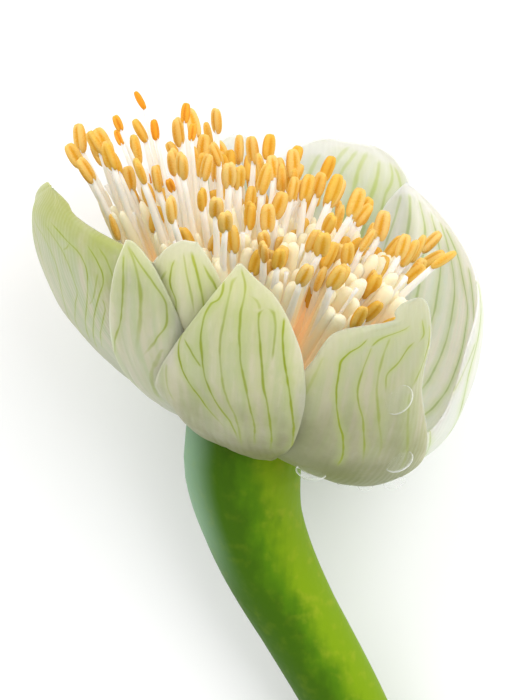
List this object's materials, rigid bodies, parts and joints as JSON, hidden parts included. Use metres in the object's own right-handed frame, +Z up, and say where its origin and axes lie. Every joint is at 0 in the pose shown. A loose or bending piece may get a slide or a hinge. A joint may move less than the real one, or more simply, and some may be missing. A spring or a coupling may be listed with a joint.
{
  "type": "paintbrush lily flower head",
  "caption": "Cut paintbrush lily head lying on its side: a cup of veined white bracts round a dense brush of long-stamened flowers, on a bent fleshy stalk.",
  "frame": {"origin": "centre of the bounding box's footprint, on the surface that the flower lies on", "axes": "+Y along the flower from the stalk's cut end to the brush of flowers, +Z up from the surface it lies on, +X to the right seen from above"},
  "size_m": [0.0488, 0.092, 0.0502],
  "materials": {
    "scape": "smooth waxy green stalk, lighter towards its edges",
    "bract": "thick satin greenish white with green veins, translucent",
    "flower": "white filaments and tepals, matt orange anthers"
  },
  "bodies": {
    "root": {"scape": "scape", "bract_1": "bract", "bract_2": "bract", "bract_3": "bract", "bract_4": "bract", "bract_5": "bract", "bract_6": "bract", "bract_7": "bract", "bract_8": "bract", "bract_9": "bract", "flower_01": "flower", "flower_02": "flower", "flower_03": "flower", "flower_04": "flower", "flower_05": "flower", "flower_06": "flower", "flower_07": "flower", "flower_08": "flower", "flower_09": "flower", "flower_10": "flower", "flower_11": "flower", "flower_12": "flower", "flower_13": "flower", "flower_14": "flower", "flower_15": "flower", "flower_16": "flower", "flower_17": "flower", "flower_18": "flower", "flower_19": "flower", "flower_20": "flower", "flower_21": "flower", "flower_22": "flower", "flower_23": "flower", "flower_24": "flower", "flower_25": "flower", "flower_26": "flower", "flower_27": "flower", "flower_28": "flower", "flower_29": "flower", "flower_30": "flower", "flower_31": "flower", "flower_32": "flower"}
  },
  "joints": []
}
